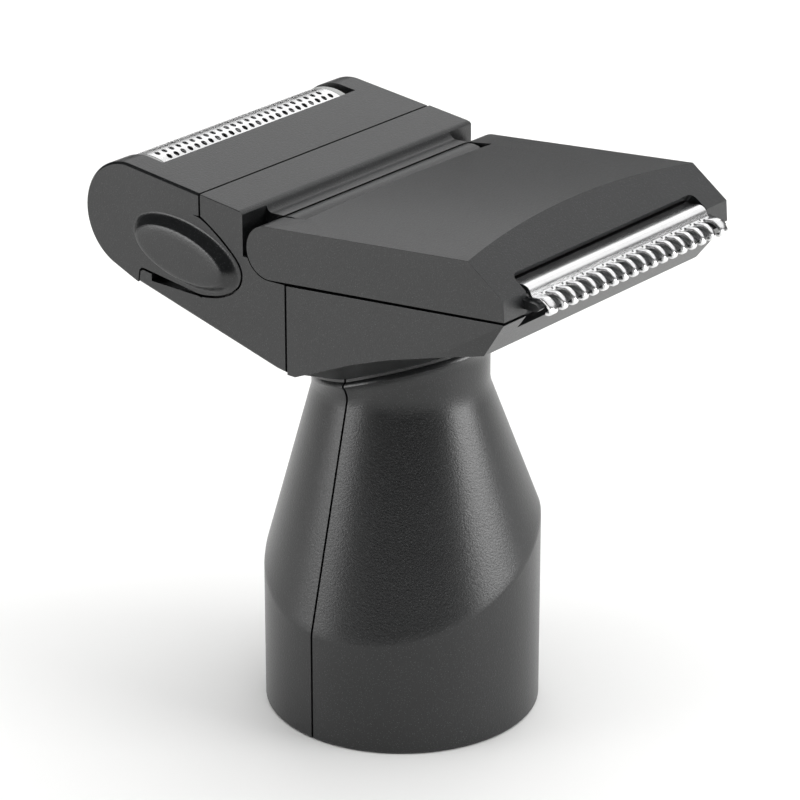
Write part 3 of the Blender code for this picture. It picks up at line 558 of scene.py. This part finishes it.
def foilSheet():
    f = foil
    pitch = (f["right"] - f["left"] - 2 * f["margin"]) / (f["holesPerRow"] + 0.5)
    arcLength = math.radians(f["end"] - f["start"]) * f["radius"]
    rowHeight = (arcLength - 2 * f["margin"]) / f["rows"]
    bm = bmesh.new()
    made = {}

    def vertex(s, y):                            # s runs along the arc from the front edge
        key = (round(s, 4), round(y, 4))
        if key not in made:
            a = math.radians(f["start"]) + s / f["radius"]
            made[key] = bm.verts.new(spot(cassette["centre"][0] + f["radius"] * math.cos(a), y,
                                          cassette["centre"][1] + f["radius"] * math.sin(a)))
        return made[key]

    def plate(s0, s1, y0, y1, alongS, alongY):   # unperforated border, cut where the cells' corners are
        for i in range(alongS):
            for k in range(alongY):
                u0, u1 = s0 + (s1 - s0) * i / alongS, s0 + (s1 - s0) * (i + 1) / alongS
                v0, v1 = y0 + (y1 - y0) * k / alongY, y0 + (y1 - y0) * (k + 1) / alongY
                bm.faces.new((vertex(u0, v0), vertex(u1, v0), vertex(u1, v1), vertex(u0, v1)))

    first = f["left"] + f["margin"]
    last = f["right"] - f["margin"]
    quarters = f["holesPerRow"] * 4 + 2
    for row in range(f["rows"]):
        s0 = f["margin"] + row * rowHeight
        shift = 0.5 * pitch if row % 2 else 0.0
        for k in range(f["holesPerRow"]):
            y0 = first + shift + k * pitch
            corners = [(s0 + rowHeight * t / 4, y0) for t in range(4)]
            corners += [(s0 + rowHeight, y0 + pitch * t / 4) for t in range(4)]
            corners += [(s0 + rowHeight * (1 - t / 4), y0 + pitch) for t in range(4)]
            corners += [(s0, y0 + pitch * (1 - t / 4)) for t in range(4)]
            hole = []
            for u, v in corners:                 # the oval hole's points face the cell's border points
                a = math.atan2(v - y0 - pitch / 2, u - s0 - rowHeight / 2)
                p, q = f["holeLong"] * math.cos(a), f["holeWide"] * math.sin(a)
                hole.append((s0 + rowHeight / 2 + p * math.cos(f["holeTilt"]) - q * math.sin(f["holeTilt"]),
                             y0 + pitch / 2 + p * math.sin(f["holeTilt"]) + q * math.cos(f["holeTilt"])))
            for n in range(16):
                m = (n + 1) % 16
                bm.faces.new((vertex(*corners[n]), vertex(*corners[m]), vertex(*hole[m]), vertex(*hole[n])))
        if row % 2:
            plate(s0, s0 + rowHeight, first, first + pitch / 2, 4, 2)
        else:
            plate(s0, s0 + rowHeight, last - pitch / 2, last, 4, 2)
        plate(s0, s0 + rowHeight, f["left"], first, 4, 1)
        plate(s0, s0 + rowHeight, last, f["right"], 4, 1)
    for s0, s1 in ((0, f["margin"]), (arcLength - f["margin"], arcLength)):
        plate(s0, s1, first, last, 1, quarters)
        plate(s0, s1, f["left"], first, 1, 1)
        plate(s0, s1, last, f["right"], 1, 1)
    sheet = fromBmesh("perforatedFoil", bm)
    thick = sheet.modifiers.new("thickness", "SOLIDIFY")
    thick.thickness, thick.offset = f["thick"] * mm, 0
    carve(sheet)
    dress(sheet, nickelFoil, "cassette", "foil_steel", "foil_sheet", angle=40)


def foilStrips():                                # grey arched strips that hold the foil's ends
    outer = arcPoints(cassette["centre"], foil["radius"] + 0.06, 53, 194, 48)
    inner = arcPoints(cassette["centre"], foil["radius"] - 0.45, 194, 53, 48)
    for word, (low, high) in foil["strips"].items():
        strip = extrude(f"foilEndStrip_{word}", outer + inner, low, high)
        soften(strip, 0.1, segments=2)
        dress(strip, greyAbs, "cassette", "frame_plastic", f"foil_end_frame_{word}")


# trimmer head: the cover that flips up, with the comb under its slope

trimmer = {
    "earRadius": 3.25, "earInner": 17.05, "earGap": 0.35, "pinReach": 19.95, "pinRadius": 1.3,
    "crown": 1.2, "topEdge": (27.0, 70.4), "noseTop": (32.0, 66.9), "slices": 40, "rim": 0.55,
    "slotHalf": 16.9, "slotRound": 1.1, "roomHalf": 18.9, "cheekInner": 16.62, "cheekOuter": 17.5,
}


def coverSection(y):
    t = trimmer
    rise = t["crown"] * (1 - (y / headHalf) ** 2)
    topX, topZ = t["topEdge"]
    ear = arcPoints(hinge, t["earRadius"], 94, 273, 36)
    nose = [(32.2, trimmerFloor(32.2)), t["noseTop"], (topX - 1.43 * rise, topZ + rise)]
    return [*ear, *nose, (-0.4, 67.41 + 0.35 * rise)]


def trimmerCover():
    t = trimmer
    slices = []
    for k in range(t["slices"] + 1):
        y = headHalf * (2 * k / t["slices"] - 1)
        slices.append([(x, y, z) for x, z in coverSection(y)])
    shell = loft("trimmerCoverShell", slices)
    soften(shell, t["rim"], lambda x, y, z: abs(y) > headHalf - 0.05 and z > trimmerFloor(x) + 0.3, 5, 0.3)
    slopeX, slopeZ = t["noseTop"][0] - t["topEdge"][0], t["noseTop"][1] - t["topEdge"][1]
    length = math.hypot(slopeX, slopeZ)
    along = Vector((slopeX / length, 0, slopeZ / length))
    out = Vector((-along.z, 0, along.x))
    mouth = roundCorners([(-t["slotHalf"], 3.5), (t["slotHalf"], 3.5), (t["slotHalf"], 14),
                          (-t["slotHalf"], 14)], t["slotRound"])
    rings = []
    for depth in (-3.2, 2.5):                    # slot through the slope, with rounded upper corners
        rings.append([(t["topEdge"][0] + along.x * s + out.x * depth, y,
                       t["topEdge"][1] + along.z * s + out.z * depth) for y, s in mouth])
    clear = t["earRadius"] + t["earGap"]
    rearX = hinge[0] + clear * math.cos(math.radians(45))
    rearGap = [(-8, 58), (rearX, 58), *arcPoints(hinge, clear, -45, 45, 24), (rearX, 75), (-8, 75)]
    room = [(1.9, 58), (1.9, 66.0), (25.4, 68.6), (29.3, 67.6), (30.0, 65.6), (30.0, 58)]
    carve(shell, cut=[extrude("coverRoom", room, -t["roomHalf"], t["roomHalf"]),
                      extrude("coverRearGap", rearGap, -t["earInner"], t["earInner"]),
                      loft("coverSlot", rings, flat=True),
                      rodShape("earBore", (hinge[0], -t["pinReach"], hinge[1]),
                               (hinge[0], t["pinReach"], hinge[1]), t["pinRadius"])])
    cheek = roundCorners([(30.8, 65.0), (34.0, 65.08), (34.45, 65.5), (33.9, 65.95), (33.2, 66.02),
                          (32.4, 66.0), (31.3, 66.5), (30.8, 66.5)], 0.12, 2)
    cheeks = [extrude(f"combCheek{side}", cheek, *sorted((side * t["cheekInner"], side * t["cheekOuter"])))
              for side in (-1, 1)]
    carve(shell, add=cheeks)
    dress(shell, charcoalAbs, "trimmer", "shell_plastic", "trimmer_cover", angle=24)


comb = {
    "barHalf": 16.5, "pitch": 1.85, "teeth": 18, "toothWide": 0.92, "tipWide": 0.62, "endWide": 1.45,
    "thick": 0.34, "rim": 0.07,
    "bar": [(24.8, 67.35), (31.2, 67.4), (31.6, 67.36), (31.95, 67.22), (32.2, 66.97), (32.38, 66.65),
            (32.5, 66.36), (32.68, 66.19), (32.95, 66.14)],
    "barUnder": [(32.95, 65.84), (32.5, 65.86), (32.2, 66.1), (32.0, 66.5), (31.75, 66.77), (31.2, 66.86),
                 (24.8, 66.8)],
    "toothLine": [(32.7, 66.13), (33.0, 66.12), (33.4, 66.2), (33.9, 66.2), (34.4, 66.04), (34.85, 65.74),
                  (35.15, 65.36), (35.2, 65.0), (34.95, 64.78), (34.5, 64.74)],
    "dotRadius": 0.14, "screwX": 26.3, "screwY": 17.4, "screwHole": 1.05,
}


def smoothLine(line, steps=4):                   # spline through the line's own points
    line = [Vector(point) for point in line]
    fine = []
    for k in range(len(line) - 1):
        p0, p1 = line[max(k - 1, 0)], line[k]
        p2, p3 = line[k + 1], line[min(k + 2, len(line) - 1)]
        for step in range(steps):
            t = step / steps
            fine.append(0.5 * ((2 * p1) + (p2 - p0) * t + (2 * p0 - 5 * p1 + 4 * p2 - p3) * t * t
                               + (3 * p1 - p0 - 3 * p2 + p3) * t ** 3))
    return fine + [line[-1]]


def toothShape(name, y, width):                  # bent strip of sheet: flat on top, its rims rounded
    fine = smoothLine(comb["toothLine"])
    rings = []
    for k, point in enumerate(fine):
        ahead = (fine[min(k + 1, len(fine) - 1)] - fine[max(k - 1, 0)]).normalized()
        normal = Vector((-ahead.y, ahead.x))
        share = k / (len(fine) - 1)
        half = (width + (comb["tipWide"] - comb["toothWide"]) * share) / 2
        thick, rim = comb["thick"] / 2, comb["rim"]
        section = []
        for across, up in ((-half, -thick), (-half, thick - rim), (-half + rim * 0.3, thick - rim * 0.3),
                           (-half + rim, thick), (half - rim, thick), (half - rim * 0.3, thick - rim * 0.3),
                           (half, thick - rim), (half, -thick)):
            section.append((point.x + normal.x * up, y + across, point.y + normal.y * up))
        rings.append(section)
    return loft(name, rings)


def fixedComb():
    c = comb
    bar = extrude("combBar", c["bar"] + c["barUnder"], -c["barHalf"], c["barHalf"])
    teeth = []
    first = -(c["teeth"] - 1) / 2 * c["pitch"]
    for k in range(c["teeth"]):
        last = k in (0, c["teeth"] - 1)
        width = c["endWide"] if last else c["toothWide"]
        outward = math.copysign((c["endWide"] - c["toothWide"]) / 2, k - 1) if last else 0
        y = first + k * c["pitch"] + outward
        teeth.append(toothShape(f"tooth{k}", y, width))
    dots = []                                    # pinholes in the roots between the teeth
    for k in range(c["teeth"] - 1):
        y = first + (k + 0.5) * c["pitch"]
        dots.append(rodShape(f"dot{k}", (32.2, y, 65.7), (32.9, y, 66.7), c["dotRadius"], 12))
    wings, holes = [], []
    for side in (-1, 1):
        low, high = sorted((side * 15.0, side * 18.3))
        wings.append(boxShape(f"combWing{side}", (24.8, low, 66.8), (27.9, high, 67.35)))
        x, y = c["screwX"], side * c["screwY"]
        holes.append(rodShape(f"combHole{side}", (x, y, 60), (x, y, 70), c["screwHole"], 24))
    carve(bar, add=[merge("teeth", teeth), *wings])
    carve(bar, cut=[merge("dots", dots), *holes])
    dress(bar, combSteel, "trimmer", "blade_steel", "fixed_blade", angle=35)


blade = {
    "half": 14.8, "slits": 16, "slitHalf": 0.24,
    "slit": [(32.5, 62), (36, 62), (36, 68), (32.5, 68)],
    "outline": [(26.8, 66.5), (31.1, 66.4), (31.6, 66.1), (32.1, 65.72), (33.0, 65.72), (33.9, 65.66),
                (34.4, 65.4), (34.62, 65.1), (34.4, 64.95), (33.9, 65.0), (31.9, 65.1), (31.3, 65.7),
                (30.9, 65.95), (26.8, 66.0)],
}


def movingBlade():                               # its teeth fill the comb's gaps when the head is at rest
    b = blade
    plate = extrude("movingBladePlate", b["outline"], -b["half"], b["half"])
    slits = []
    for k in range(b["slits"]):
        y = (k - (b["slits"] - 1) / 2) * comb["pitch"]
        slits.append(extrude(f"bladeSlit{k}", b["slit"], y - b["slitHalf"], y + b["slitHalf"]))
    carve(plate, cut=[merge("bladeSlits", slits)])
    dress(plate, groundSteel, "moving_blade", "blade_steel", "moving_blade")


housingRear()
print("rear shell done")
housingFront()
hingeBarrel()
print("front shell done")
cassetteShell()
foilSheet()
foilStrips()
print("foil shaver done")
trimmerCover()
fixedComb()
movingBlade()
print("trimmer done")


# the drive and the other inner pieces keep their CAD shapes and get finishes

kept = {
    "coupling_ring": naturalAcetal, "drive_bulkhead": naturalAcetal, "drive_lever": naturalAcetal,
    "drive_slider": naturalAcetal, "cutter_carrier": naturalAcetal, "blade_carrier": naturalAcetal,
    "trimmer_base": charcoalAbs, "undercutter": groundSteel, "hinge_pin": drawnSteel,
    "pivot_pin": drawnSteel, "housing_screw_left": drawnSteel, "housing_screw_right": drawnSteel,
    "guide_rod_rear": drawnSteel, "guide_rod_front": drawnSteel, "cutter_slide_plate": drawnSteel,
    "cutter_spring_left": drawnSteel, "cutter_spring_right": drawnSteel,
    "blade_screw_left": drawnSteel, "blade_screw_right": drawnSteel, "blade_spring": drawnSteel,
}
for node, material in kept.items():
    part = frame["nodes"][node]
    part.data.materials.clear()
    part.data.materials.append(material)
    if material is not drawnSteel:               # moulded and ground pieces have no knife edges
        edge = part.modifiers.new("edge", "BEVEL")
        edge.width, edge.segments = 0.1 * mm, 2
        edge.limit_method, edge.angle_limit = "ANGLE", math.radians(40)
print("inner pieces finished")


# studio

studio = {
    "azimuth": 40.13, "elevation": 23.30, "distance": 462.9, "aimRight": -0.28, "aimZ": 39.43, "lens": 172.2,
    "aimPanels": 40.0, "floorHalf": 4000.0, "floorDark": "#f1f1f0", "floorColour": "#f4f4f3",
    "floorMottle": 400, "airSeen": 1.0, "airLight": 0.06,
}
# panels: azimuth as for the camera, elevation, distance, width and height in mm, watts, reflected or not
panels = {
    "leftPanel": (-34, 0, 620, 300, 420, 2.2, True),
    "rightPanel": (112, 4, 620, 360, 460, 4.4, True),
    "backPanel": (218, 29, 900, 700, 440, 1.2, True),
    "highPanel": (168, 45, 900, 900, 560, 1.8, True),
    "overheadFill": (40, 90, 900, 1600, 1600, 15.5, False),
}


def fromAngles(azimuth, elevation):
    a, e = math.radians(azimuth), math.radians(elevation)
    return Vector((math.sin(a) * math.cos(e), -math.cos(a) * math.cos(e), math.sin(e)))


def lookFrom(thing, place, aim):
    thing.location = place
    thing.rotation_euler = (aim - place).to_track_quat("-Z", "Y").to_euler()
    bpy.context.scene.collection.objects.link(thing)


def buildStudio():
    s = studio
    right = Vector((math.cos(math.radians(s["azimuth"])), math.sin(math.radians(s["azimuth"])), 0))
    aim = spot(0, 0, s["aimZ"]) + right * s["aimRight"] * mm
    lens = bpy.data.cameras.new("threeQuarterView")
    lens.lens = s["lens"]
    lens.clip_start, lens.clip_end = 0.01, 20
    camera = bpy.data.objects.new("threeQuarterView", lens)
    lookFrom(camera, aim + fromAngles(s["azimuth"], s["elevation"]) * s["distance"] * mm, aim)
    bpy.context.scene.camera = camera
    for name, (azimuth, elevation, distance, width, height, power, seen) in panels.items():
        lamp = bpy.data.lights.new(name, "AREA")
        lamp.shape = "RECTANGLE"
        lamp.size, lamp.size_y, lamp.energy = width * mm, height * mm, power
        panel = bpy.data.objects.new(name, lamp)
        middle = spot(0, 0, s["aimPanels"])
        lookFrom(panel, middle + fromAngles(azimuth, elevation) * distance * mm, middle)
        panel.visible_glossy = seen
    bm = bmesh.new()
    bmesh.ops.create_grid(bm, x_segments=8, y_segments=8, size=s["floorHalf"] * mm)
    floor = fromBmesh("paleFloor", bm)
    material, tree, shader = newMaterial("mattPaintedFloor", 0.8)      # matt paint: pale, no reflections
    place = addNode(tree, "ShaderNodeTexCoord").outputs["Object"]
    mottle = addNode(tree, "ShaderNodeTexNoise", {"Scale": perMetre(s["floorMottle"]), "Detail": 2.0},
                     {"Vector": place})
    paint = addNode(tree, "ShaderNodeMix",
                    {"data_type": "RGBA", 6: linear(s["floorDark"]), 7: linear(s["floorColour"])},
                    {0: mottle.outputs["Fac"]})
    tree.links.new(paint.outputs[2], shader.inputs["Base Color"])
    shader.inputs["Specular IOR Level"].default_value = 0.1
    floor.data.materials.append(material)
    world = bpy.data.worlds.new("studioAir")
    bpy.context.scene.world = world
    world.use_nodes = True
    air = world.node_tree
    sky = air.nodes["Background"]
    sky.inputs["Color"].default_value = (1, 1, 1, 1)
    seenByCamera = addNode(air, "ShaderNodeLightPath").outputs["Is Camera Ray"]
    strength = addNode(air, "ShaderNodeMapRange", {"To Min": s["airLight"], "To Max": s["airSeen"]},
                       {"Value": seenByCamera})
    air.links.new(strength.outputs["Result"], sky.inputs["Strength"])
    bpy.context.scene.view_settings.view_transform = "Standard"


buildStudio()
print("studio built")
